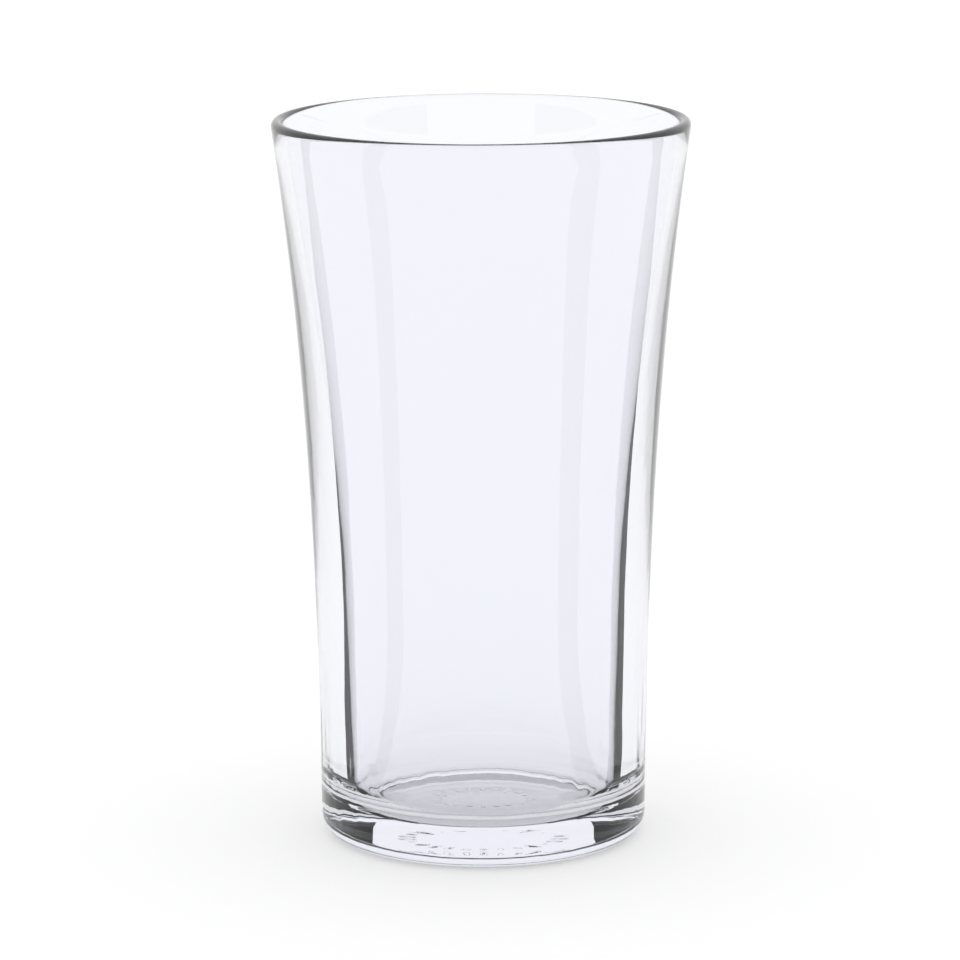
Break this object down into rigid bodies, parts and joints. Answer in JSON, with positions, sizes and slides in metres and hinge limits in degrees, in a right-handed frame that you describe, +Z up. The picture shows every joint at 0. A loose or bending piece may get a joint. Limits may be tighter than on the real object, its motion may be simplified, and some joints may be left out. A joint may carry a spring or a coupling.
{
  "type": "pint glass",
  "caption": "Flared, heavy-based clear drinking glass, round, with a thick flat floor, a rounded lip and a shallow recess under the foot, for holding a pint of drink.",
  "frame": {"origin": "centre of the foot ring, on the surface that the glass stands on", "axes": "+Z up along the axis of revolution, towards the rim; +X and +Y are any two level directions, because the glass is round"},
  "size_m": [0.087, 0.087, 0.152],
  "materials": {
    "clear_glass": "clear soda-lime glass, fire-polished smooth, with faint press-mould waviness"
  },
  "bodies": {
    "root": {"pint_glass": "clear_glass"}
  },
  "joints": []
}
